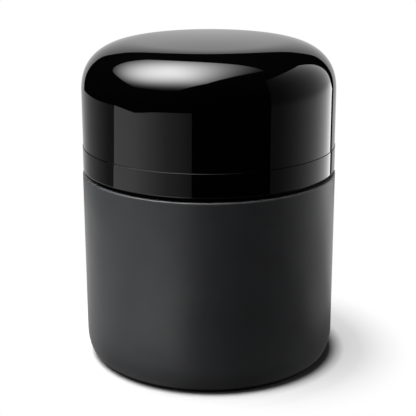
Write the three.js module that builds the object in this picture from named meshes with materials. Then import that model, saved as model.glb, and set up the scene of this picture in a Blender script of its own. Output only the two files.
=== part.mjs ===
// Round candle tin with a domed friction lid. Millimetres, +Z up.
// The origin is the centre of the underside, on the surface that the tin stands on.
// Every piece is turned about the Z axis, so each one is a closed profile of [radius, height] points
// that runs anticlockwise: up the outside, in over the top, and down the inside.

import * as THREE from "three";

// ---------------------------------------------------------------- driving dimensions
const SEGMENTS = 48; // facets round the big pieces
const FINE_SEGMENTS = 24; // facets round the wick and its tab
const GAP = 0.3; // clearance that pieces lying on each other keep

const TIN_RADIUS = 40;
const TIN_HEIGHT = 60.15; // top of the lip above the table
const TIN_WALL = 1.2;
const TIN_CORNER = 3.2; // how far in the rounding between wall and bottom reaches
const TIN_CORNER_HEIGHT = 8; // how far up it reaches
const LIP_ROUND = 1.0; // outside rounding of the lip

const PAD_THICKNESS = 1.2;
const PAD_RADIUS = 31;
const PAD_PROUD = 0.2; // how far the pad stands below the tin's own bottom
const RECESS_RADIUS = 31.6; // recess in the bottom that holds the pad

const NECK_RADIUS = 35.9; // outside of the neck that the lid slides over
const NECK_WALL = 1.0;
const NECK_TOP = 68.5;
const NECK_SLEEVE_BOTTOM = 51.5;
const NECK_SHOULDER = 59.35; // top of the shoulder, just below the lip

const WAX_TOP = 49.5;
const WICK_RADIUS = 1.2;
const WICK_ABOVE_WAX = 6.5;
const STICKER_RADIUS = 9;
const STICKER_THICKNESS = 0.6;
const TAB_RADIUS = 7.5;
const TAB_THICKNESS = 0.5;
const TAB_NECK_RADIUS = 2.1;
const TAB_NECK_HEIGHT = 5;

const LID_BOTTOM = 61.4; // the lower edge, a shadow gap above the lip
const LID_SEAM = 68.75; // hairline between the band and the shell
const LID_TOP = 101.7;
const BAND_RADIUS = 39.8;
const SHELL_RADIUS = 39.65;
const LID_WALL = 1.8;
const DOME_START = 85.05; // where the straight wall turns into the dome
const DOME_CORNER = 18.4; // how far in the dome's shoulder reaches
const DOME_CROWN = 1.6; // rise of the nearly flat crown
const DOME_POWER = 2.6; // 2 is an ellipse, more is squarer

const LINER_RADIUS = 37.2;
const LINER_WALL = 1.0;
const LINER_PLATE = 1.4;
const GASKET_THICKNESS = 1.5;
const GASKET_WIDTH = 3.2;

// ---------------------------------------------------------------- helpers
const QUARTER = Math.PI / 2;

// Points on an arc in the profile's plane, both ends included. It is an ellipse's when rise differs from size.
function arc(radius, height, size, from, to, steps, rise = size) {
  return Array.from({ length: steps + 1 }, (_, i) => {
    const angle = from + ((to - from) * i) / steps;
    return [radius + size * Math.cos(angle), height + rise * Math.sin(angle)];
  });
}

// The dome from its wall up to the axis. The shoulder is a superellipse, and the crown is a shallow bowl
// upside down that fades out down the shoulder. inset moves the whole outline in by a wall's thickness.
function dome(inset, steps) {
  const reach = DOME_CORNER - inset;
  const wall = SHELL_RADIUS - inset;
  const rise = LID_TOP - DOME_CROWN - DOME_START - inset;
  const points = [];
  for (let i = 0; i <= steps; i += 1) {
    const angle = (QUARTER * i) / steps;
    const radius = wall - reach + reach * Math.cos(angle) ** (2 / DOME_POWER);
    const climb = Math.sin(angle) ** (2 / DOME_POWER);
    const crown = DOME_CROWN * (1 - (radius / wall) ** 2) * climb;
    points.push([radius, DOME_START + rise * climb + crown]);
  }
  const flat = wall - reach;
  const rings = 3;
  for (let i = 1; i <= rings; i += 1) {
    const radius = flat * (1 - i / rings);
    points.push([radius, DOME_START + rise + DOME_CROWN * (1 - (radius / wall) ** 2)]);
  }
  return points;
}

// A turned solid from an anticlockwise profile. A profile that doesn't touch the axis closes on itself.
function turned(name, profile, finish, segments = SEGMENTS) {
  const points = profile.map(([radius, height]) => new THREE.Vector2(Math.max(radius, 0), height));
  const first = points[0];
  const last = points[points.length - 1];
  if (first.x > 0 || last.x > 0) points.push(first.clone());
  const geometry = new THREE.LatheGeometry(points, segments);
  geometry.rotateX(QUARTER); // the lathe turns about Y, so this stands its axis up along Z
  const mesh = new THREE.Mesh(geometry, new THREE.MeshStandardMaterial({ name, ...finish }));
  mesh.name = name;
  return mesh;
}

// ---------------------------------------------------------------- finishes
const charcoalPowderCoat = { color: 0x37383a, roughness: 0.72, metalness: 0.0 };
const blackLacquer = { color: 0x050505, roughness: 0.06, metalness: 0.0 };
const blackAnodised = { color: 0x0c0c0d, roughness: 0.4, metalness: 0.6 };
const blackPlastic = { color: 0x101011, roughness: 0.45, metalness: 0.0 };
const greySilicone = { color: 0x55575a, roughness: 0.6, metalness: 0.0 };
const blackRubber = { color: 0x0b0b0b, roughness: 0.8, metalness: 0.0 };
const creamWax = { color: 0xeee4cc, roughness: 0.5, metalness: 0.0 };
const cotton = { color: 0xf2ecdd, roughness: 0.9, metalness: 0.0 };
const tinplate = { color: 0xc4c6c8, roughness: 0.3, metalness: 1.0 };
const foamTape = { color: 0xe9e9e6, roughness: 0.8, metalness: 0.0 };

// ---------------------------------------------------------------- the tin
const RECESS_FLOOR = PAD_THICKNESS + GAP; // underside of the panel above the pad
const INNER_FLOOR = RECESS_FLOOR + TIN_WALL;
const INNER_RADIUS = TIN_RADIUS - TIN_WALL;

// One drawn can: the bottom steps down round the recess to the ring that backs the rounded corner.
function tinBody() {
  const outerCorner = arc(
    TIN_RADIUS - TIN_CORNER, PAD_PROUD + TIN_CORNER_HEIGHT, TIN_CORNER, -QUARTER, 0, 8, TIN_CORNER_HEIGHT);
  const lip = arc(TIN_RADIUS - LIP_ROUND, TIN_HEIGHT - LIP_ROUND, LIP_ROUND, 0, QUARTER, 3);
  const innerSize = TIN_CORNER - TIN_WALL;
  const innerRise = TIN_CORNER_HEIGHT - TIN_WALL;
  const innerCorner = arc(
    INNER_RADIUS - innerSize, PAD_PROUD + TIN_WALL + innerRise, innerSize, 0, -QUARTER, 6, innerRise);
  return turned("tin_body", [
    [0, RECESS_FLOOR],
    [RECESS_RADIUS, RECESS_FLOOR],
    [RECESS_RADIUS, PAD_PROUD],
    ...outerCorner,
    ...lip,
    [INNER_RADIUS, TIN_HEIGHT],
    ...innerCorner,
    [RECESS_RADIUS + TIN_WALL, PAD_PROUD + TIN_WALL],
    [RECESS_RADIUS + TIN_WALL, INNER_FLOOR],
    [0, INNER_FLOOR],
  ], charcoalPowderCoat);
}

function basePad() {
  const edge = 0.3;
  return turned("base_pad", [
    [0, 0],
    [PAD_RADIUS - edge, 0],
    [PAD_RADIUS, edge],
    [PAD_RADIUS, PAD_THICKNESS],
    [0, PAD_THICKNESS],
  ], blackRubber);
}

// The collar: a sleeve against the tin's wall, a shoulder just under the lip, and the neck above it.
function neckRing() {
  const sleeveOuter = INNER_RADIUS - GAP;
  const neckInner = NECK_RADIUS - NECK_WALL;
  const edge = 0.3;
  return turned("neck_ring", [
    [sleeveOuter - NECK_WALL, NECK_SLEEVE_BOTTOM],
    [sleeveOuter, NECK_SLEEVE_BOTTOM],
    [sleeveOuter, NECK_SHOULDER - edge],
    [sleeveOuter - edge, NECK_SHOULDER],
    [NECK_RADIUS, NECK_SHOULDER],
    [NECK_RADIUS, NECK_TOP - edge],
    [NECK_RADIUS - edge, NECK_TOP],
    [neckInner + edge, NECK_TOP],
    [neckInner, NECK_TOP - edge],
    [neckInner, NECK_SHOULDER - NECK_WALL],
    [sleeveOuter - NECK_WALL, NECK_SHOULDER - NECK_WALL],
  ], blackAnodised);
}

// ---------------------------------------------------------------- wax and wick
const STICKER_BOTTOM = INNER_FLOOR + GAP;
const TAB_BOTTOM = STICKER_BOTTOM + STICKER_THICKNESS + GAP;
const TAB_TOP = TAB_BOTTOM + TAB_THICKNESS;
const WICK_BORE = WICK_RADIUS + GAP;

// The wax fills the tin up to its top face and leaves room for the sticker, the tab and the wick.
function waxFill() {
  const outer = INNER_RADIUS - GAP;
  const size = TIN_CORNER - TIN_WALL;
  const rise = TIN_CORNER_HEIGHT - TIN_WALL;
  const bottom = PAD_PROUD + TIN_WALL + GAP;
  const corner = arc(outer - size, bottom + rise, size, -QUARTER, 0, 6, rise);
  const step = RECESS_RADIUS + TIN_WALL + GAP;
  return turned("wax_fill", [
    [STICKER_RADIUS + GAP, INNER_FLOOR + GAP],
    [step, INNER_FLOOR + GAP],
    [step, bottom],
    ...corner,
    [outer, WAX_TOP],
    [WICK_BORE, WAX_TOP],
    [WICK_BORE, TAB_TOP + TAB_NECK_HEIGHT + GAP],
    [TAB_NECK_RADIUS + GAP, TAB_TOP + TAB_NECK_HEIGHT + GAP],
    [TAB_NECK_RADIUS + GAP, TAB_TOP + GAP],
    [STICKER_RADIUS + GAP, TAB_TOP + GAP],
  ], creamWax);
}

function wickSticker() {
  return turned("wick_sticker", [
    [0, STICKER_BOTTOM],
    [STICKER_RADIUS, STICKER_BOTTOM],
    [STICKER_RADIUS, STICKER_BOTTOM + STICKER_THICKNESS],
    [0, STICKER_BOTTOM + STICKER_THICKNESS],
  ], foamTape, FINE_SEGMENTS);
}

// A thin disc with a crimped tube that grips the wick.
function wickTab() {
  return turned("wick_tab", [
    [0, TAB_BOTTOM],
    [TAB_RADIUS, TAB_BOTTOM],
    [TAB_RADIUS, TAB_TOP],
    [TAB_NECK_RADIUS, TAB_TOP],
    [TAB_NECK_RADIUS, TAB_TOP + TAB_NECK_HEIGHT],
    [WICK_BORE, TAB_TOP + TAB_NECK_HEIGHT],
    [WICK_BORE, TAB_TOP],
    [0, TAB_TOP],
  ], tinplate, FINE_SEGMENTS);
}

function wick() {
  const top = WAX_TOP + WICK_ABOVE_WAX;
  const tip = 0.4;
  return turned("wick", [
    [0, TAB_TOP + GAP],
    [WICK_RADIUS, TAB_TOP + GAP],
    [WICK_RADIUS, top - tip],
    [WICK_RADIUS - tip, top],
    [0, top],
  ], cotton, FINE_SEGMENTS);
}

// ---------------------------------------------------------------- the lid
const SPIGOT_HEIGHT = 4; // how far the band's spigot goes up inside the shell
const SPIGOT_OUTER = SHELL_RADIUS - LID_WALL / 2 - GAP;
const SHELL_BOTTOM = LID_SEAM + GAP;
const GASKET_BOTTOM = NECK_TOP + GAP;
const PLATE_BOTTOM = GASKET_BOTTOM + GASKET_THICKNESS + GAP;

// The dome. Its wall is halved at the bottom to take the band's spigot.
function lidShell() {
  const rebate = SPIGOT_OUTER + GAP;
  const rebateTop = LID_SEAM + SPIGOT_HEIGHT + GAP;
  return turned("lid_shell", [
    ...dome(LID_WALL, 8).reverse(),
    [SHELL_RADIUS - LID_WALL, rebateTop],
    [rebate, rebateTop],
    [rebate, SHELL_BOTTOM],
    [SHELL_RADIUS, SHELL_BOTTOM],
    ...dome(0, 14),
  ], blackLacquer);
}

// The ring below the seam, with a rounded lower edge and a spigot that goes up inside the shell.
function lidBand() {
  const edge = 0.25;
  const inner = LINER_RADIUS + GAP;
  return turned("lid_band", [
    [inner, LID_BOTTOM],
    ...arc(BAND_RADIUS - edge, LID_BOTTOM + edge, edge, -QUARTER, 0, 2),
    [SHELL_RADIUS, LID_SEAM],
    [SPIGOT_OUTER, LID_SEAM],
    [SPIGOT_OUTER, LID_SEAM + SPIGOT_HEIGHT],
    [inner, LID_SEAM + SPIGOT_HEIGHT],
  ], blackLacquer);
}

// A shallow cup, mouth down: its skirt slides over the neck and its plate closes the dome.
function lidLiner() {
  const inner = LINER_RADIUS - LINER_WALL;
  const edge = 0.3;
  const bottom = LID_BOTTOM + 0.6;
  const top = PLATE_BOTTOM + LINER_PLATE;
  return turned("lid_liner", [
    [0, PLATE_BOTTOM],
    [inner, PLATE_BOTTOM],
    [inner, bottom + edge],
    [inner + edge, bottom],
    [LINER_RADIUS, bottom],
    [LINER_RADIUS, top - 2 * edge],
    [LINER_RADIUS - 2 * edge, top],
    [0, top],
  ], blackPlastic);
}

// The soft ring that lands on the neck's edge.
function lidGasket() {
  const outer = LINER_RADIUS - LINER_WALL - GAP;
  const top = GASKET_BOTTOM + GASKET_THICKNESS;
  return turned("lid_gasket", [
    [outer - GASKET_WIDTH, GASKET_BOTTOM],
    [outer, GASKET_BOTTOM],
    [outer, top],
    [outer - GASKET_WIDTH, top],
  ], greySilicone);
}

// ---------------------------------------------------------------- assembly
const tin = new THREE.Group();
tin.name = "tin";
tin.add(tinBody(), basePad(), neckRing(), waxFill(), wickSticker(), wickTab(), wick());

const lid = new THREE.Group();
lid.name = "lid";
lid.add(lidShell(), lidBand(), lidLiner(), lidGasket());

const candleTin = new THREE.Group();
candleTin.name = "candle_tin";
candleTin.add(tin, lid);

export default candleTin;
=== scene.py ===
"""The looks of a round candle tin with a domed gloss lid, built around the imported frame. Metres, +Z up.

Every piece but the braided wick is turned about the Z axis, as the real ones are, from an outline of
(radius, height, fillet) corners. Heights and outer radii come from the frame's boxes. Wall thicknesses and
small details are named below.
"""

import math

import bpy
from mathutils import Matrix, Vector, noise

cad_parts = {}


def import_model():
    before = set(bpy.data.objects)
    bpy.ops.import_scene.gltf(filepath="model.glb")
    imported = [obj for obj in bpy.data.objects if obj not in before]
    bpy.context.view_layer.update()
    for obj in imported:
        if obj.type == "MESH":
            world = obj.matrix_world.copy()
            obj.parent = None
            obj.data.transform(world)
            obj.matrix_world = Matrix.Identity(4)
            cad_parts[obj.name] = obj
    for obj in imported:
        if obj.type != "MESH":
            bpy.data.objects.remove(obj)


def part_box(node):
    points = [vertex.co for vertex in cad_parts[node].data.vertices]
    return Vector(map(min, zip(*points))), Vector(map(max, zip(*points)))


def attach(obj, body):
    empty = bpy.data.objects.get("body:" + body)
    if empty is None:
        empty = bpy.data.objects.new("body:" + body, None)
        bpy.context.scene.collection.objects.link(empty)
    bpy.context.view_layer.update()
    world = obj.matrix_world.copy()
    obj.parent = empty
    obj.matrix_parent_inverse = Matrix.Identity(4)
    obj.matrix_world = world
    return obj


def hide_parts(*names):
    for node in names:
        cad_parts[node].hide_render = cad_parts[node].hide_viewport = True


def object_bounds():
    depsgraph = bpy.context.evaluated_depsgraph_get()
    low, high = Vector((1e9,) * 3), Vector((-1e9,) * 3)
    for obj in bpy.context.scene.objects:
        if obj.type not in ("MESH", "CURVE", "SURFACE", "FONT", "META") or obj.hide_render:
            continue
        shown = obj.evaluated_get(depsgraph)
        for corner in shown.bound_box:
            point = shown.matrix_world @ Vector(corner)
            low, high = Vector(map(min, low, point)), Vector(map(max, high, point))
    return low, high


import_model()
cad_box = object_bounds()

MM = 0.001
ROUND = 240  # facets round the big pieces
FINE_ROUND = 96  # facets round the small ones
TINY = 1e-7

TIN_WALL = 1.2 * MM
TIN_CORNER = 3.2 * MM  # how far in the rounding between wall and bottom reaches
TIN_CORNER_HEIGHT = 8 * MM  # how far up it reaches
LIP_ROUND = 0.55 * MM
RECESS_RADIUS = 31.6 * MM
RECESS_FLOOR = 1.5 * MM
GAP = 0.3 * MM  # clearance between pieces that lie on each other
SEAM = 0.09 * MM  # the hairline that shows between the lid's shell and its band
NECK_WALL = 1.0 * MM
NECK_SHOULDER = 59.35 * MM
LID_WALL = 1.8 * MM
DOME_START = 85.05 * MM  # where the lid's straight wall turns into the dome
DOME_CORNER = 18.4 * MM  # how far in the shoulder of the dome reaches
DOME_CROWN = 1.6 * MM  # rise of the nearly flat crown
DOME_POWER = 2.6  # 2 is an ellipse, more is squarer
LINER_WALL = 1.0 * MM


class Span:
    """A CAD node's outer radius and its lowest and highest point."""

    def __init__(self, node):
        low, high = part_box(node)
        self.radius = high.x
        self.bottom = low.z
        self.top = high.z
        self.height = high.z - low.z


tin = Span("tin_body")
pad = Span("base_pad")
collar = Span("neck_ring")
wax = Span("wax_fill")
sticker = Span("wick_sticker")
tab = Span("wick_tab")
wick = Span("wick")
shell = Span("lid_shell")
band = Span("lid_band")
liner = Span("lid_liner")
gasket = Span("lid_gasket")
neck_radius = gasket.radius
lid_middle = (shell.bottom + shell.top) / 2
band_spigot = shell.radius - LID_WALL / 2 - GAP


# ---------------------------------------------------------------- mesh helpers
def fillet(before, corner, after, radius, step=math.radians(13)):
    """The points of an arc that rounds a corner, with one support point out on each straight side."""
    here = Vector(corner[:2])
    back = Vector(before[:2]) - here
    ahead = Vector(after[:2]) - here
    opening = back.angle(ahead)
    reach = min(radius / math.tan(opening / 2), 0.46 * back.length, 0.46 * ahead.length)
    size = reach * math.tan(opening / 2)
    back.normalize()
    ahead.normalize()
    centre = here + (back + ahead).normalized() * (size / math.sin(opening / 2))
    start = here + back * reach - centre
    sweep = start.angle_signed(here + ahead * reach - centre)
    count = max(3, math.ceil(abs(sweep) / step))
    support = 0.08 * reach
    points = [here + back * (reach + support)]
    for i in range(count + 1):
        turn = -sweep * i / count
        points.append(centre + Vector((start.x * math.cos(turn) - start.y * math.sin(turn),
                                       start.x * math.sin(turn) + start.y * math.cos(turn))))
    points.append(here + ahead * (reach + support))
    return [tuple(p) for p in points]


def rounded(corners):
    """An outline from (radius, height) or (radius, height, fillet) corners. Off the axis it's a loop."""
    closed = corners[0][0] > TINY or corners[-1][0] > TINY
    last = len(corners) - 1
    points = []
    for i, corner in enumerate(corners):
        inside = closed or 0 < i < last
        if len(corner) == 3 and inside:
            points += fillet(corners[i - 1], corner, corners[(i + 1) % len(corners)], corner[2])
        else:
            points.append(tuple(corner[:2]))
    return points


def turned(name, outline, segments=ROUND, shape=None):
    """A mesh turned from an anticlockwise outline. shape(radius, height, angle) may move each point."""
    closed = outline[0][0] > TINY or outline[-1][0] > TINY
    vertices = []
    rows = []
    for radius, height in outline:
        first = len(vertices)
        if radius < TINY:
            vertices.append(shape(0, height, 0) if shape else (0, 0, height))
            rows.append([first] * segments)
            continue
        for i in range(segments):
            angle = 2 * math.pi * i / segments
            if shape:
                vertices.append(shape(radius, height, angle))
            else:
                vertices.append((radius * math.cos(angle), radius * math.sin(angle), height))
        rows.append(list(range(first, first + segments)))
    faces = []
    pairs = list(zip(rows, rows[1:]))
    if closed:
        pairs.append((rows[-1], rows[0]))
    for lower, upper in pairs:
        for i in range(segments):
            j = (i + 1) % segments
            face = [lower[i], lower[j], upper[j], upper[i]]
            faces.append(list(dict.fromkeys(face)))
    mesh = bpy.data.meshes.new(name)
    mesh.from_pydata(vertices, [], faces)
    mesh.shade_smooth()
    mesh.validate()
    return mesh


def piece(name, mesh, body, node, finish):
    """A finished piece that stands for one CAD node and rides on its body."""
    made = bpy.data.objects.new(name, mesh)
    bpy.context.scene.collection.objects.link(made)
    mesh.materials.append(finish)
    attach(made, body)
    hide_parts(node)
    return made


# ---------------------------------------------------------------- material helpers
class Finish:
    """One node material: a Principled shader, and short ways to wire textures into it."""

    def __init__(self, name, colour, **sockets):
        self.material = bpy.data.materials.new(name)
        self.material.use_nodes = True
        self.tree = self.material.node_tree
        self.shader = self.tree.nodes["Principled BSDF"]
        self.shader.inputs["Base Color"].default_value = (*colour, 1)
        for socket, value in sockets.items():
            self.shader.inputs[socket.replace("_", " ").title().replace("Ior", "IOR")].default_value = value
        self.place = self.add("ShaderNodeTexCoord").outputs["Object"]

    def add(self, kind, inputs=None, **settings):
        made = self.tree.nodes.new(kind)
        for key, value in settings.items():
            setattr(made, key, value)
        for key, value in (inputs or {}).items():
            if isinstance(value, bpy.types.NodeSocket):
                self.tree.links.new(value, made.inputs[key])
            else:
                made.inputs[key].default_value = value
        return made

    def grain(self, size, detail=3.0, place=None, rough=0.5):
        """Noise with features about size metres across, from 0 to 1."""
        settings = {"Vector": place or self.place, "Scale": 1 / size, "Detail": detail, "Roughness": rough}
        return self.add("ShaderNodeTexNoise", settings).outputs["Fac"]

    def cells(self, size, place=None):
        settings = {"Vector": place or self.place, "Scale": 1 / size}
        return self.add("ShaderNodeTexVoronoi", settings).outputs["Distance"]

    def spread(self, value, low, high, start=0.3, end=0.7):
        """value from start..end mapped to low..high, and held there outside."""
        settings = {"Value": value, "From Min": start, "From Max": end, "To Min": low, "To Max": high}
        return self.add("ShaderNodeMapRange", settings).outputs["Result"]

    def maths(self, operation, first, second=0.0):
        return self.add("ShaderNodeMath", {0: first, 1: second}, operation=operation).outputs[0]

    def blend(self, factor, dark, light):
        """A colour between two, either of which may be a socket."""
        made = self.add("ShaderNodeMix", {"Factor": factor}, data_type="RGBA")
        for socket, value in ((made.inputs[6], dark), (made.inputs[7], light)):
            if isinstance(value, bpy.types.NodeSocket):
                self.tree.links.new(value, socket)
            else:
                socket.default_value = (*value, 1)
        return made.outputs[2]

    def height(self):
        return self.add("ShaderNodeSeparateXYZ", {0: self.place}).outputs["Z"]

    def turning(self, along=1.0):
        """Coordinates that follow a turned surface: radius, height, and a little of the angle."""
        split = self.add("ShaderNodeSeparateXYZ", {0: self.place}).outputs
        flat = self.add("ShaderNodeCombineXYZ", {"X": split["X"], "Y": split["Y"]}).outputs[0]
        radius = self.add("ShaderNodeVectorMath", {0: flat}, operation="LENGTH").outputs["Value"]
        angle = self.maths("ARCTAN2", split["Y"], split["X"])
        turned = self.maths("MULTIPLY", angle, along * MM)
        return self.add("ShaderNodeCombineXYZ", {"X": radius, "Y": split["Z"], "Z": turned}).outputs[0]

    def paint(self, socket, value):
        self.tree.links.new(value, self.shader.inputs[socket])

    def bump(self, *layers):
        """Bump from (height socket, depth in metres) layers, one on top of the other."""
        normal = None
        for value, depth in layers:
            inputs = {"Height": value, "Distance": depth, "Strength": 1.0}
            if normal is not None:
                inputs["Normal"] = normal
            normal = self.add("ShaderNodeBump", inputs).outputs["Normal"]
        self.paint("Normal", normal)


# ---------------------------------------------------------------- materials
def powder_coat():
    """Matte charcoal powder coat: a fine pebble grain, faint clouding, and a rubbed lip."""
    f = Finish("powder_coat", (0.02, 0.0205, 0.022), roughness=0.38, ior=1.5, specular_ior_level=0.35)
    grain = f.grain(0.45 * MM, 2.5)
    clouds = f.grain(9 * MM, 4)
    rub = f.spread(f.height(), 0.0, 1.0, tin.top - 0.9 * MM, tin.top - 0.1 * MM)
    worn = f.maths("MULTIPLY", rub, f.spread(f.grain(2.2 * MM, 4), 0.15, 0.6))
    tone = f.blend(f.spread(clouds, 0, 1), (0.017, 0.0175, 0.0188), (0.022, 0.0226, 0.0242))
    tone = f.blend(f.spread(grain, 0, 0.2), tone, (0.04, 0.041, 0.043))
    f.paint("Base Color", f.blend(worn, tone, (0.05, 0.05, 0.052)))
    rough = f.spread(grain, 0.36, 0.44)
    f.paint("Roughness", f.maths("SUBTRACT", rough, f.maths("MULTIPLY", worn, 0.08)))
    f.bump((grain, 0.014 * MM), (f.grain(1.3 * MM, 2), 0.012 * MM))
    return f.material


def gloss_lid():
    """High-gloss black lacquer: very faint orange peel, and hair-fine polishing marks in the gloss."""
    f = Finish("gloss_lid", (0.0005, 0.0005, 0.0005), roughness=0.03, ior=1.5)
    marks = f.grain(0.22 * MM, 2, f.turning(3.0))
    haze = f.grain(14 * MM, 3)
    f.paint("Roughness", f.maths("ADD", f.spread(haze, 0.02, 0.045), f.spread(marks, 0, 0.012, 0.55, 0.8)))
    f.paint("Base Color", f.blend(haze, (0.0004, 0.0004, 0.0004), (0.0007, 0.0007, 0.0007)))
    f.bump((f.grain(3.5 * MM, 1), 0.0006 * MM))
    return f.material


def black_collar():
    """Satin black anodised aluminium, with the fine rings that turning leaves."""
    f = Finish("black_collar", (0.012, 0.012, 0.012), roughness=0.36, metallic=0.6, ior=1.5)
    rings = f.grain(0.12 * MM, 3, f.turning(4.0))
    f.paint("Roughness", f.spread(rings, 0.28, 0.44))
    f.paint("Base Color", f.blend(f.grain(5 * MM, 4), (0.009, 0.009, 0.009), (0.018, 0.018, 0.019)))
    f.bump((rings, 0.006 * MM))
    return f.material


def soy_wax():
    """Cream soy wax: satin, slightly see-through, with cloudy frosting, and pinholes whose shade is painted
    darker into the colour.
    """
    f = Finish("soy_wax", (0.85, 0.76, 0.58), roughness=0.45, ior=1.44, subsurface_weight=0.35,
               subsurface_radius=(0.6, 0.42, 0.25), subsurface_scale=4 * MM)
    frost = f.grain(7 * MM, 6, rough=0.62)
    pits = f.spread(f.cells(2.6 * MM), 1.0, 0.0, 0.04, 0.16)
    tone = f.blend(f.spread(frost, 0, 1, 0.42, 0.68), (0.80, 0.70, 0.51), (0.88, 0.82, 0.69))
    # painted shade: the sunken pinholes are painted a darker brown
    f.paint("Base Color", f.blend(f.maths("MULTIPLY", pits, 0.25), tone, (0.70, 0.58, 0.38)))
    f.paint("Roughness", f.spread(frost, 0.34, 0.58))
    f.bump((f.grain(1.1 * MM, 4), 0.02 * MM), (pits, -0.05 * MM))
    return f.material


def cotton():
    """Waxed braided cotton: fine fibres along the strands, with shade painted a little darker into the
    grooves.
    """
    f = Finish("cotton", (0.82, 0.78, 0.68), roughness=0.75, ior=1.45, sheen_weight=0.25,
               sheen_roughness=0.5)
    fibres = f.grain(0.09 * MM, 4)
    # painted shade: the colour is darker where the fibre bump is low, in the grooves
    f.paint("Base Color", f.blend(f.spread(fibres, 0, 1), (0.66, 0.60, 0.48), (0.88, 0.85, 0.77)))
    f.paint("Roughness", f.spread(fibres, 0.6, 0.85))
    f.bump((fibres, 0.03 * MM))
    return f.material


def tinplate():
    """Bright tinplate with rolling lines and a soft spangle."""
    f = Finish("tinplate", (0.6, 0.61, 0.62), roughness=0.28, metallic=1.0)
    stretched = f.add("ShaderNodeMapping", {"Vector": f.place, "Scale": (1, 14, 14)}).outputs[0]
    rolling = f.grain(1.2 * MM, 4, stretched)
    f.paint("Roughness", f.spread(rolling, 0.2, 0.38))
    f.paint("Base Color", f.blend(f.cells(1.8 * MM), (0.55, 0.56, 0.57), (0.68, 0.69, 0.70)))
    f.bump((rolling, 0.005 * MM))
    return f.material


def foam_tape():
    """White closed-cell foam."""
    f = Finish("foam_tape", (0.8, 0.8, 0.78), roughness=0.85)
    cells = f.cells(0.22 * MM)
    f.paint("Base Color", f.blend(f.spread(cells, 0, 1, 0.1, 0.6), (0.70, 0.70, 0.67), (0.84, 0.84, 0.82)))
    f.paint("Roughness", f.spread(cells, 0.92, 0.78))
    f.bump((cells, 0.04 * MM))
    return f.material


def liner_plastic():
    """Satin black moulded plastic with a spark-eroded grain."""
    f = Finish("liner_plastic", (0.015, 0.015, 0.016), roughness=0.42, ior=1.5)
    grain = f.grain(0.16 * MM, 3)
    f.paint("Roughness", f.spread(grain, 0.36, 0.5))
    f.paint("Base Color", f.blend(f.grain(4 * MM, 4), (0.012, 0.012, 0.013), (0.021, 0.021, 0.022)))
    f.bump((grain, 0.008 * MM))
    return f.material


def silicone():
    """Grey silicone, soft satin with a faint moulding bloom."""
    f = Finish("silicone", (0.18, 0.18, 0.19), roughness=0.55, ior=1.42)
    bloom = f.grain(1.6 * MM, 5)
    f.paint("Base Color", f.blend(bloom, (0.15, 0.15, 0.16), (0.22, 0.22, 0.23)))
    f.paint("Roughness", f.spread(bloom, 0.46, 0.64))
    f.bump((f.grain(0.3 * MM, 2), 0.006 * MM))
    return f.material


def base_rubber():
    """Matte black rubber with a dusty bloom."""
    f = Finish("base_rubber", (0.013, 0.013, 0.013), roughness=0.8, ior=1.5)
    dust = f.grain(2.4 * MM, 6, rough=0.65)
    dusty = f.spread(dust, 0, 1, 0.4, 0.75)
    f.paint("Base Color", f.blend(dusty, (0.011, 0.011, 0.011), (0.032, 0.031, 0.030)))
    f.paint("Roughness", f.spread(dust, 0.72, 0.9))
    f.bump((f.grain(0.25 * MM, 3), 0.012 * MM))
    return f.material


# ---------------------------------------------------------------- the tin
def arc(radius, height, size, rise, start, end, steps):
    """Points on an elliptical arc in the outline's plane, both ends included, from degrees to degrees."""
    points = []
    for i in range(steps + 1):
        angle = math.radians(start + (end - start) * i / steps)
        points.append((radius + size * math.cos(angle), height + rise * math.sin(angle)))
    return points


def tin_body():
    """One drawn can: the floor steps down round the recess to the ring that backs the rounded corner."""
    inner_floor = RECESS_FLOOR + TIN_WALL
    step = RECESS_RADIUS + TIN_WALL
    inside = tin.radius - TIN_WALL
    size = TIN_CORNER - TIN_WALL
    rise = TIN_CORNER_HEIGHT - TIN_WALL
    outer_middle = (tin.radius - TIN_CORNER, tin.bottom + TIN_CORNER_HEIGHT)
    outer = arc(*outer_middle, TIN_CORNER, TIN_CORNER_HEIGHT, -90, 0, 32)
    inner = arc(inside - size, tin.bottom + TIN_WALL + rise, size, rise, 0, -90, 20)
    corners = [
        (0, RECESS_FLOOR),
        (RECESS_RADIUS, RECESS_FLOOR, 0.4 * MM),
        (RECESS_RADIUS, tin.bottom, 0.5 * MM),
        *outer,
        (tin.radius, tin.top, LIP_ROUND),
        (inside, tin.top, 0.35 * MM),
        *inner,
        (step, tin.bottom + TIN_WALL, 0.3 * MM),
        (step, inner_floor, 0.5 * MM),
        (0, inner_floor),
    ]
    return turned("tin_can", rounded(corners))


def base_pad():
    """A disc with ring-shaped grooves underneath, which leave ribs that grip the table."""
    grooves = 16
    pitch = 1.8 * MM
    width = 0.7 * MM
    depth = 0.3 * MM
    slope = 0.15 * MM
    corners = [(0, pad.bottom)]
    for i in range(grooves):
        start = (i + 0.9) * pitch
        corners += [
            (start, pad.bottom, 0.12 * MM),
            (start + slope, pad.bottom + depth, 0.1 * MM),
            (start + width - slope, pad.bottom + depth, 0.1 * MM),
            (start + width, pad.bottom, 0.12 * MM),
        ]
    corners += [
        (pad.radius, pad.bottom, 0.3 * MM),
        (pad.radius, pad.top, 0.1 * MM),
        (0, pad.top),
    ]
    return turned("grip_pad", rounded(corners))


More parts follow.
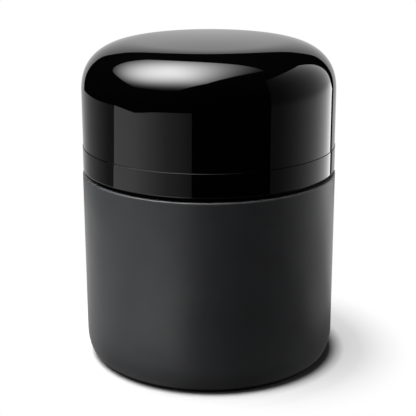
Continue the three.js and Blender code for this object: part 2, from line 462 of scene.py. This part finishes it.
def neck_ring():
    """The collar: a sleeve in the tin, a shoulder under the lip, and a neck with a bead and a soft edge."""
    sleeve = collar.radius
    inside = neck_radius - NECK_WALL
    bead = 0.12 * MM  # how far it stands out
    bead_reach = 0.9 * MM  # half its height
    bead_height = NECK_SHOULDER + 0.62 * (collar.top - NECK_SHOULDER)
    corners = [
        (sleeve - NECK_WALL, collar.bottom, 0.3 * MM),
        (sleeve, collar.bottom, 0.3 * MM),
        (sleeve, NECK_SHOULDER, 0.35 * MM),
        (neck_radius, NECK_SHOULDER, 0.3 * MM),
        (neck_radius, bead_height - bead_reach, 0.4 * MM),
        (neck_radius + bead, bead_height, 0.5 * MM),
        (neck_radius, bead_height + bead_reach, 0.4 * MM),
        (neck_radius, collar.top, 0.45 * MM),
        (inside, collar.top, 0.45 * MM),
        (inside, NECK_SHOULDER - NECK_WALL, 0.5 * MM),
        (sleeve - NECK_WALL, NECK_SHOULDER - NECK_WALL, 0.5 * MM),
    ]
    return turned("neck_collar", rounded(corners))


# ---------------------------------------------------------------- wax and wick
def wax_fill():
    """The poured wax: a rim that climbs the wall, a shallow sink, and a little mound at the wick."""
    outer = wax.radius
    size = TIN_CORNER - TIN_WALL
    rise = TIN_CORNER_HEIGHT - TIN_WALL
    floor = RECESS_FLOOR + TIN_WALL + GAP
    step = RECESS_RADIUS + TIN_WALL + GAP
    bore = wick.radius + 0.05 * MM
    climb = 0.45 * MM  # at the wall, and half of it at the wick
    climb_width = 0.8 * MM
    mound_width = 0.7 * MM
    sink = 0.35 * MM
    sink_place = 5 * MM  # in from the wall
    sink_width = 4 * MM
    swell_size = 0.12 * MM
    lift = 0.2 * MM
    corners = [(sticker.radius + GAP, floor), (step, floor, 0.3 * MM), (step, wax.bottom, 0.3 * MM)]
    corners += arc(outer - size, wax.bottom + rise, size, rise, -90, 0, 16)
    corners.append((outer, wax.top - 2 * MM))
    rings = 70
    for i in range(rings + 1):
        share = i / rings
        radius = outer - 0.02 * MM - (outer - bore) * share
        from_wall = outer - radius
        from_wick = radius - bore
        up = climb * math.exp(-from_wall / climb_width) + 0.5 * climb * math.exp(-from_wick / mound_width)
        down = sink * math.exp(-((from_wall - sink_place) / sink_width) ** 2)
        corners.append((radius, wax.top - sink + up - down + lift))
    top_of_tab = tab.top + GAP
    corners += [(bore, top_of_tab), (sticker.radius + GAP, top_of_tab)]

    def settled(radius, height, angle):
        x = radius * math.cos(angle)
        y = radius * math.sin(angle)
        if height < wax.top - 1.5 * MM:
            return x, y, height
        swell = noise.noise(Vector((x, y, 0)) / (11 * MM))
        ripple = noise.noise(Vector((x, y, 1)) / (3.5 * MM))
        return x, y, height + swell_size * (swell + 0.4 * ripple)

    return turned("soy_wax", rounded(corners), shape=settled)


def wick_sticker():
    """A foam disc with soft cut edges."""
    corners = [
        (0, sticker.bottom),
        (sticker.radius, sticker.bottom, 0.1 * MM),
        (sticker.radius - 0.08 * MM, sticker.bottom + sticker.height / 2, 0.4 * MM),
        (sticker.radius, sticker.top, 0.1 * MM),
        (0, sticker.top),
    ]
    return turned("foam_sticker", rounded(corners), FINE_ROUND)


def wick_tab():
    """A stamped disc with a stiffening ring, and a neck crimped in four places."""
    thick = 0.5 * MM
    neck = 2.1 * MM
    bore = 1.5 * MM
    flat = tab.bottom + thick
    ring = 4.9 * MM  # radius of the stiffening ring
    ring_depth = 0.2 * MM
    crimps = 4
    crimp_depth = 0.22 * MM
    steps = 10
    wall = [(neck, flat + (tab.top - flat) * (0.15 + 0.7 * i / steps)) for i in range(steps + 1)]
    bored = [(bore, height) for _, height in reversed(wall)]
    corners = [
        (0, tab.bottom),
        (tab.radius, tab.bottom, 0.15 * MM),
        (tab.radius, flat, 0.15 * MM),
        (ring + 0.7 * MM, flat, 0.3 * MM),
        (ring + 0.3 * MM, flat - ring_depth, 0.3 * MM),
        (ring - 0.3 * MM, flat - ring_depth, 0.3 * MM),
        (ring - 0.7 * MM, flat, 0.3 * MM),
        (neck, flat, 0.5 * MM),
        *wall,
        (neck, tab.top, 0.15 * MM),
        (bore, tab.top, 0.15 * MM),
        *bored,
        (bore, flat, 0.1 * MM),
        (0, flat),
    ]

    def crimped(radius, height, angle):
        squeeze = 0.0
        if flat + 1.2 * MM < height < tab.top - 0.3 * MM:
            squeeze = crimp_depth * max(0.0, math.cos(crimps * angle)) ** 2
        return (radius - squeeze) * math.cos(angle), (radius - squeeze) * math.sin(angle), height

    return turned("crimped_tab", rounded(corners), FINE_ROUND, crimped)


def braided_wick():
    """A round braid: eight strands, four each way, that pass over and under one another."""
    strands = 8
    strand_radius = 0.30 * MM
    path_radius = wick.radius - strand_radius - 0.10 * MM
    weave = 0.09 * MM
    pitch = 5.2 * MM
    taper = 1.2 * MM  # the top stretch where the strands close up
    bottom = wick.bottom + strand_radius
    top = wick.top - strand_radius
    sides = 10
    steps = 220
    vertices = []
    faces = []

    def centre(strand, z):
        way = 1 if strand % 2 else -1
        turn = way * 2 * math.pi * (z - wick.bottom) / pitch + 2 * math.pi * (strand // 2) / (strands / 2)
        over = math.sin(strands / 2 * turn * way + (math.pi / 2 if way > 0 else -math.pi / 2))
        close = 1 - 0.5 * max(0.0, (z - top + taper) / taper) ** 2
        radius = (path_radius + weave * over) * close
        return Vector((radius * math.cos(turn), radius * math.sin(turn), z))

    for strand in range(strands):
        base = len(vertices)
        for i in range(steps + 1):
            z = bottom + (top - bottom) * i / steps
            here = centre(strand, z)
            along = (centre(strand, z + 0.01 * MM) - here).normalized()
            side = along.cross(Vector((here.x, here.y, 0))).normalized()
            out = side.cross(along)
            size = strand_radius * (0.15 if i in (0, steps) else 1.0)
            for j in range(sides):
                angle = 2 * math.pi * j / sides
                vertices.append(here + size * (math.cos(angle) * out + math.sin(angle) * side))
        for i in range(steps):
            for j in range(sides):
                k = (j + 1) % sides
                row = base + i * sides
                faces.append((row + j, row + k, row + sides + k, row + sides + j))
        faces.append([base + j for j in reversed(range(sides))])
        faces.append([base + steps * sides + j for j in range(sides)])
    mesh = bpy.data.meshes.new("braided_wick")
    mesh.from_pydata(vertices, [], faces)
    mesh.shade_smooth()
    return mesh


# ---------------------------------------------------------------- the lid
def dome(inset, steps):
    """The dome's outline from its wall up to the axis, moved in by inset. The shoulder is a superellipse."""
    reach = DOME_CORNER - inset
    wall = shell.radius - inset
    rise = shell.top - DOME_CROWN - DOME_START - inset
    points = []
    for i in range(steps + 1):
        angle = math.pi / 2 * i / steps
        radius = wall - reach + reach * math.cos(angle) ** (2 / DOME_POWER)
        climb = math.sin(angle) ** (2 / DOME_POWER)
        points.append((radius, DOME_START + climb * (rise + DOME_CROWN * (1 - (radius / wall) ** 2))))
    rings = steps // 3
    flat = wall - reach
    for i in range(1, rings + 1):
        radius = flat * (1 - i / rings)
        points.append((radius, DOME_START + rise + DOME_CROWN * (1 - (radius / wall) ** 2)))
    return points


def lid_shell():
    """The dome, with a fine rounded edge at the seam and a rebate inside for the band's spigot."""
    rebate = band_spigot + GAP
    rebate_top = band.top + GAP
    edge = shell.bottom - GAP + SEAM
    support = 4 * MM  # keeps the shading of the straight wall even above the edge
    inner = list(reversed(dome(LID_WALL, 30)))
    corners = [
        *inner,
        (shell.radius - LID_WALL, rebate_top, 0.2 * MM),
        (rebate, rebate_top, 0.2 * MM),
        (rebate, shell.bottom, 0.15 * MM),
        (shell.radius, edge, 0.06 * MM),
        (shell.radius, shell.bottom + support),
        *dome(0, 72),
    ]
    return turned("gloss_dome", rounded(corners))


def lid_band():
    """The ring below the seam: a rounded lower edge, and a spigot that goes up inside the shell."""
    inside = liner.radius + GAP
    seam = shell.bottom - GAP
    corners = [
        (inside, band.bottom, 0.25 * MM),
        (band.radius, band.bottom, 0.3 * MM),
        (band.radius, seam, 0.06 * MM),
        (band_spigot, seam, 0.15 * MM),
        (band_spigot, band.top, 0.3 * MM),
        (inside, band.top, 0.3 * MM),
    ]
    return turned("gloss_band", rounded(corners))


def lid_liner():
    """The inner cup: grip ribs inside its skirt, and stiffening rings under its plate."""
    inside = liner.radius - LINER_WALL
    plate = gasket.top + GAP
    ring_depth = 0.25 * MM
    ribs = 24
    rib_depth = 0.16 * MM
    rib_width = 0.22  # as a value of the sine that sets the ribs out
    corners = [(0, plate)]
    for middle in (8 * MM, 16 * MM, 24 * MM):
        corners += [
            (middle - 0.9 * MM, plate, 0.4 * MM),
            (middle - 0.5 * MM, plate - ring_depth, 0.3 * MM),
            (middle + 0.5 * MM, plate - ring_depth, 0.3 * MM),
            (middle + 0.9 * MM, plate, 0.4 * MM),
        ]
    corners += [
        (inside, plate, 0.3 * MM),
        (inside, plate - 1.4 * MM),
        (inside, liner.bottom + 1.6 * MM),
        (inside, liner.bottom, 0.3 * MM),
        (liner.radius, liner.bottom, 0.3 * MM),
        (liner.radius, liner.top, 0.5 * MM),
        (0, liner.top),
    ]

    def ribbed(radius, height, angle):
        on_skirt = abs(radius - inside) < 0.02 * MM and liner.bottom + MM < height < plate - MM
        rib = rib_depth * math.exp(-((math.sin(ribs / 2 * angle) / rib_width) ** 2)) if on_skirt else 0.0
        return (radius - rib) * math.cos(angle), (radius - rib) * math.sin(angle), height

    return turned("ribbed_liner", rounded(corners), 2 * ROUND, ribbed)


def lid_gasket():
    """The soft ring that lands on the neck's edge, with a raised lip."""
    inside = gasket.radius - 3.2 * MM
    middle = (inside + gasket.radius) / 2
    lip_width = 0.7 * MM  # half of it
    flat = gasket.bottom + 0.15 * MM
    corners = [
        (inside, flat, 0.3 * MM),
        (middle - lip_width, flat, 0.4 * MM),
        (middle, gasket.bottom, 0.4 * MM),
        (middle + lip_width, flat, 0.4 * MM),
        (gasket.radius, flat, 0.3 * MM),
        (gasket.radius, gasket.top, 0.3 * MM),
        (inside, gasket.top, 0.3 * MM),
    ]
    return turned("seal_ring", rounded(corners))


# ---------------------------------------------------------------- studio
# Each card's outline is in units of its distance from the lid's middle, round the point nearest to it.
# The outlines set where the reflections in the gloss begin and end.
TABLE_LIGHT_DEPTH = 0.5 * MM  # how far under the table top its light lies


def glow(name, strength, pattern=None):
    """An emission material. pattern(finish) returns a socket that scales its strength across the card."""
    f = Finish(name, (0, 0, 0))
    emission = f.add("ShaderNodeEmission", {"Strength": strength})
    if pattern:
        f.tree.links.new(f.maths("MULTIPLY", pattern(f), strength), emission.inputs["Strength"])
    f.tree.links.new(emission.outputs[0], f.tree.nodes["Material Output"].inputs["Surface"])
    return f.material


def light(name, corners, faces, finish, diffuse=True, glossy=True):
    """A flat light, which neither the camera nor shadows see."""
    mesh = bpy.data.meshes.new(name)
    mesh.from_pydata(corners, [], faces)
    mesh.materials.append(finish)
    made = bpy.data.objects.new(name, mesh)
    bpy.context.scene.collection.objects.link(made)
    made.visible_camera = False
    made.visible_shadow = False
    made.visible_transmission = False
    made.visible_diffuse = diffuse
    made.visible_glossy = glossy
    return made


def card(name, corners, finish, glossy=True):
    """A light of one face."""
    return light(name, corners, [list(range(len(corners)))], finish, glossy=glossy)


def overhead():
    """The key: a big softbox up on the left, brightest near its inner side."""
    above = 0.9  # metres over the lid's middle
    outline = [(-2.06, -0.58), (-1.30, -1.36), (-0.80, -1.42), (-0.02, -0.72), (0.14, -0.48), (0.54, 0.13),
               (-0.40, 0.89), (-1.15, 0.88), (-1.39, 0.76)]
    brightest = (-0.355, -0.08)
    left_width = 0.60
    right_width = 0.29
    depth = 0.42
    corners = [(x * above, y * above, lid_middle + above) for x, y in outline]

    def falloff(f):
        split = f.add("ShaderNodeSeparateXYZ", {0: f.place}).outputs
        x = f.maths("SUBTRACT", split["X"], brightest[0] * above)
        y = f.maths("SUBTRACT", split["Y"], brightest[1] * above)
        on_left = f.maths("LESS_THAN", x, 0.0)
        width = f.spread(on_left, right_width * above, left_width * above, 0, 1)
        across = f.maths("POWER", f.maths("ABSOLUTE", f.maths("DIVIDE", x, width)), 2)
        along = f.maths("POWER", f.maths("ABSOLUTE", f.maths("DIVIDE", y, depth * above)), 2)
        return f.maths("EXPONENT", f.maths("MULTIPLY", f.maths("ADD", across, along), -0.5))

    return card("card_overhead", corners, glow("glow_overhead", 17.0, falloff))


def right_side():
    """A tall softbox on the right that gets brighter towards the back and below the lid."""
    away = 0.8
    front = -0.71
    back = 1.24
    outline = [(front, -0.6), (back, -0.6), (back, -0.2), (1.14, -0.06), (1.10, 0.45), (1.07, 0.70),
               (0.97, 0.90), (0.84, 1.05), (-0.48, 1.11), (-0.66, 0.60), (front, 0.10)]
    low_gain = 1.7
    faintest = 0.022
    corners = [(away, y * away, lid_middle + z * away) for y, z in outline]

    def ramp(f):
        split = f.add("ShaderNodeSeparateXYZ", {0: f.place}).outputs
        share = f.spread(split["Y"], 0, 1, front * away, back * away)
        gain = f.spread(split["Z"], low_gain, 1.0, lid_middle - 0.15 * away, lid_middle)
        return f.maths("MULTIPLY", f.maths("ADD", f.maths("POWER", share, 2.4), faintest), gain)

    return card("card_right", corners, glow("glow_right", 2.25, ramp))


def backdrop():
    """The lit paper behind, a little darker towards its top."""
    away = 0.9
    top = 0.545
    edge = [(0.66, -0.6), (0.65, 0.10), (0.60, 0.25), (0.49, 0.38), (0.43, 0.48), (0.36, 0.525),
            (0.28, 0.53)]
    outline = edge + [(0, top)] + [(-x, z) for x, z in reversed(edge)]
    corners = [(x * away, away, lid_middle + z * away) for x, z in outline]

    def fade(f):
        height = f.add("ShaderNodeSeparateXYZ", {0: f.place}).outputs["Z"]
        return f.spread(height, 0.71, 0.47, lid_middle + 0.1 * away, lid_middle + top * away)

    return card("card_back", corners, glow("glow_back", 1.0, fade))


def fan(name, near, stops, diffuse=True):
    """A glowing ring sector under the table top. A stop is (degrees from the front, strength, reach)."""
    step = 3  # degrees
    below = Vector((0, 0, -TABLE_LIGHT_DEPTH))
    vertices = []
    faces = []
    shine = []
    for first, last in zip(stops, stops[1:]):
        count = max(1, round(abs(last[0] - first[0]) / step))
        for i in range(count + 1):
            degrees, strength, reach = (a + (b - a) * i / count for a, b in zip(first, last))
            angle = math.radians(degrees)
            side = Vector((math.sin(angle), -math.cos(angle), 0))
            vertices += [side * near + below, side * reach + below]
            shine += [strength] * 2
            if i:
                row = len(vertices) - 4
                faces.append((row, row + 1, row + 3, row + 2))

    def read(f):
        return f.add("ShaderNodeAttribute", attribute_name="shine").outputs["Fac"]

    made = light(name, vertices, faces, glow("glow_" + name, 1.0, read), diffuse)
    tone = made.data.attributes.new("shine", "FLOAT", "POINT")
    for i, value in enumerate(shine):
        tone.data[i].value = value
    return made


def table_light():
    """The lit table: a far part that only the gloss of the lid mirrors, and two rings that light the tin."""
    foot_start = tin.radius - 1.8 * MM
    foot_end = 0.065
    near_end = 0.2
    far = [(-174, 0.66, 0.60), (-150, 0.64, 0.59), (-129, 0.35, 0.578), (-116, 0.26, 0.556),
           (-96, 0.11, 0.55), (-88.3, 0.10, 0.55), (-88.2, 0.87, 0.554), (-74, 0.95, 0.48),
           (-65, 0.93, 0.453), (-56, 0.76, 0.47), (-37, 0.37, 0.534), (-24, 0.24, 0.548), (-14, 0.14, 0.56)]
    near = [(-160, 0.5), (-142, 1.3), (-105, 0.72), (-80, 0.82), (-62, 0.6), (-50, 1.4), (-26, 1.7),
            (-12, 0.06), (30, 0.03), (78, 0.1), (85, 0.6), (118, 0.6), (125, 1.4), (155, 1.4), (170, 0.3)]
    foot = [(-160, 0.6), (-142, 1.2), (-60, 0.3), (-24, 0.4), (-8, 0.2), (20, 0.13), (80, 0.13), (118, 0.2),
            (125, 1.2), (155, 1.2), (170, 0.3)]
    fan("card_table_far", near_end, far, diffuse=False)
    fan("card_table_foot", foot_start, [(degrees, strength, foot_end) for degrees, strength in foot])
    fan("card_table_near", foot_end, [(degrees, strength, near_end) for degrees, strength in near])


def side_walls():
    """Lit walls beside and behind the tin. They give soft light only, and don't show in the gloss."""
    away = 0.8
    walls = [(-150, -120, 2.2), (-90, -60, 4.6), (60, 90, 1.3), (90, 120, 4.6), (150, 180, 1.5)]
    for start, end, strength in walls:
        corners = []
        for degrees, height in ((start, 0), (end, 0), (end, away), (start, away)):
            angle = math.radians(degrees)
            corners.append((away * math.sin(angle), -away * math.cos(angle), height))
        name = f"wall_{start}".replace("-", "m")
        card(name, corners, glow("glow_" + name, strength), glossy=False)


def floor():
    """A plain pale table top for the camera. It glows by itself, which is painted light, less and less
    towards the tin's foot, which paints the contact shadow and the shadow beside the tin; its colour is
    painted darker just round the foot.
    """
    side = 4.0
    # middle of the painted shadow, set a little right of and in front of the tin's axis
    shade_middle = (1.5 * MM, -0.7 * MM, 0.0)
    contact = tin.radius + 0.5 * MM  # painted contact shadow: the glow starts here, and the table's colour is painted darker further in
    mesh = bpy.data.meshes.new("floor")
    corners = [(-side, -side, 0), (side, -side, 0), (side, side, 0), (-side, side, 0)]
    mesh.from_pydata(corners, [], [(0, 1, 2, 3)])
    f = Finish("pale_table_painted_shadow", (0.8, 0.8, 0.8), roughness=0.9, specular_ior_level=0.0)
    distance = f.add("ShaderNodeVectorMath", {0: f.place, 1: shade_middle}, operation="DISTANCE")
    away = distance.outputs["Value"]
    # painted light and painted shadow: the table's own glow, which fades to nothing towards the tin to paint
    # its contact shadow and the wider shadow beside it
    glow_past_painted_contact_shadow = f.spread(away, 0.0, 0.42, contact, tin.radius + 3.2 * MM)
    glow_past_painted_cast_shadow = f.spread(away, 0.0, 0.58, tin.radius + 8 * MM, tin.radius + 24 * MM)
    share = f.maths("ADD", glow_past_painted_contact_shadow, glow_past_painted_cast_shadow)
    tone = f.blend(f.grain(0.3, 2), (0.40, 0.40, 0.40), (0.42, 0.42, 0.42))
    # painted contact shadow: the table's colour goes nearly black just round the tin's foot
    tone = f.blend(f.spread(away, 0.0, 1.0, tin.radius - 2 * MM, contact), (0.03, 0.03, 0.03), tone)
    f.paint("Base Color", f.blend(share, tone, (0.0, 0.0, 0.0)))
    f.shader.inputs["Emission Color"].default_value = (1, 1, 1, 1)
    f.paint("Emission Strength", share)
    mesh.materials.append(f.material)
    made = bpy.data.objects.new("floor", mesh)
    bpy.context.scene.collection.objects.link(made)
    made.visible_glossy = False
    made.visible_diffuse = False
    made.visible_shadow = False
    return made


def world():
    """White for the camera only. The cards light the object."""
    made = bpy.data.worlds.new("studio")
    bpy.context.scene.world = made
    made.use_nodes = True
    made.node_tree.nodes["Background"].inputs["Color"].default_value = (1, 1, 1, 1)
    made.cycles_visibility.diffuse = False
    made.cycles_visibility.glossy = False
    bpy.context.scene.view_settings.view_transform = "Standard"


def camera():
    """A long lens a little above the lid, from the front."""
    low, high = cad_box
    tall = high.z - low.z
    pitch = math.radians(16.71)
    roll = math.radians(0.16)
    distance = 3.614 * tall
    aim = Vector((-0.05 * MM, 0, low.z + 0.4605 * tall))
    back = Vector((0, -math.cos(pitch), math.sin(pitch)))
    lens = bpy.data.cameras.new("camera")
    lens.lens = 98.67
    lens.sensor_width = 36
    lens.clip_start = 0.01
    lens.clip_end = 50
    made = bpy.data.objects.new("camera", lens)
    bpy.context.scene.collection.objects.link(made)
    made.location = aim + back * distance
    made.rotation_euler = (math.radians(90) - pitch, roll, 0)
    bpy.context.scene.camera = made


# ---------------------------------------------------------------- assembly
lacquer = gloss_lid()
piece("tin_can", tin_body(), "tin", "tin_body", powder_coat())
piece("grip_pad", base_pad(), "tin", "base_pad", base_rubber())
piece("neck_collar", neck_ring(), "tin", "neck_ring", black_collar())
piece("poured_wax", wax_fill(), "tin", "wax_fill", soy_wax())
piece("foam_sticker", wick_sticker(), "tin", "wick_sticker", foam_tape())
piece("crimped_tab", wick_tab(), "tin", "wick_tab", tinplate())
piece("braided_wick", braided_wick(), "tin", "wick", cotton())
piece("gloss_dome", lid_shell(), "lid", "lid_shell", lacquer)
piece("gloss_band", lid_band(), "lid", "lid_band", lacquer)
piece("ribbed_liner", lid_liner(), "lid", "lid_liner", liner_plastic())
piece("seal_ring", lid_gasket(), "lid", "lid_gasket", silicone())

world()
floor()
overhead()
right_side()
backdrop()
table_light()
side_walls()
camera()
